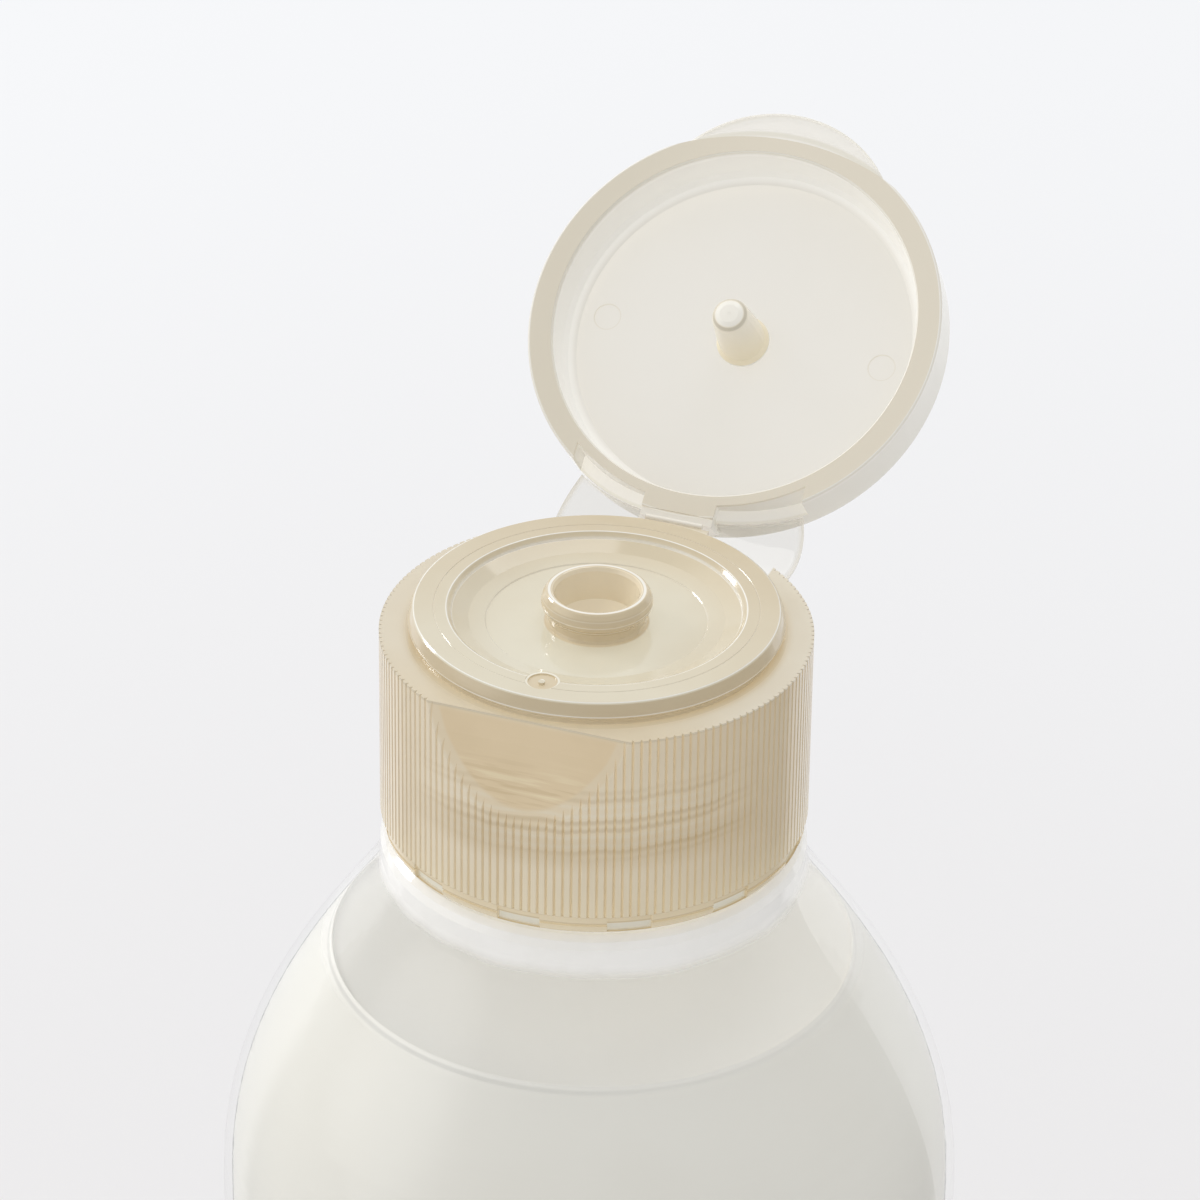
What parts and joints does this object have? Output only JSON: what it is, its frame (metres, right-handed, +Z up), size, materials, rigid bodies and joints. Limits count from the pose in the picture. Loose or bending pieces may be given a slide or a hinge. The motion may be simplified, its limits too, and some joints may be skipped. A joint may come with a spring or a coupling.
{
  "type": "lotion bottle",
  "caption": "Clear round lotion bottle, part filled, with a ribbed translucent screw closure whose flip-top lid, pouring spout and snap hinge are open",
  "frame": {"origin": "centre of the plane that the bottle stands on, on the bottle's own axis", "axes": "+Z up along the bottle, +Y to the hinge at the back, -Y to the thumb tab at the front, +X to the right seen from the front"},
  "size_m": [0.0672, 0.0865, 0.1844],
  "materials": {
    "clear_wall": "clear, glossy, colourless blown wall",
    "lotion": "milky, opaque",
    "closure": "translucent warm beige, glossy, fine matte on the seat",
    "film": "thin clear film",
    "lid": "translucent warm beige, satin"
  },
  "bodies": {
    "bottle": {"bottle": "clear_wall", "lotion": "lotion"},
    "closure": {"closure_base": "closure", "hinge_strap": "film", "hinge_film_left": "film", "hinge_film_right": "film"},
    "lid": {"lid": "lid"}
  },
  "joints": [
    {"name": "closure_lift", "type": "slide", "parent": "bottle", "child": "closure", "axis": [0, 0, 1], "range_m": [0, 0.022]},
    {"name": "lid_hinge", "type": "hinge", "parent": "closure", "child": "lid", "pos_m": [0, 0.01983, 0.15846], "axis": [1, 0, 0], "range_deg": [-40.4, 139.6], "deforming": ["hinge_film_left", "hinge_film_right"]}
  ]
}
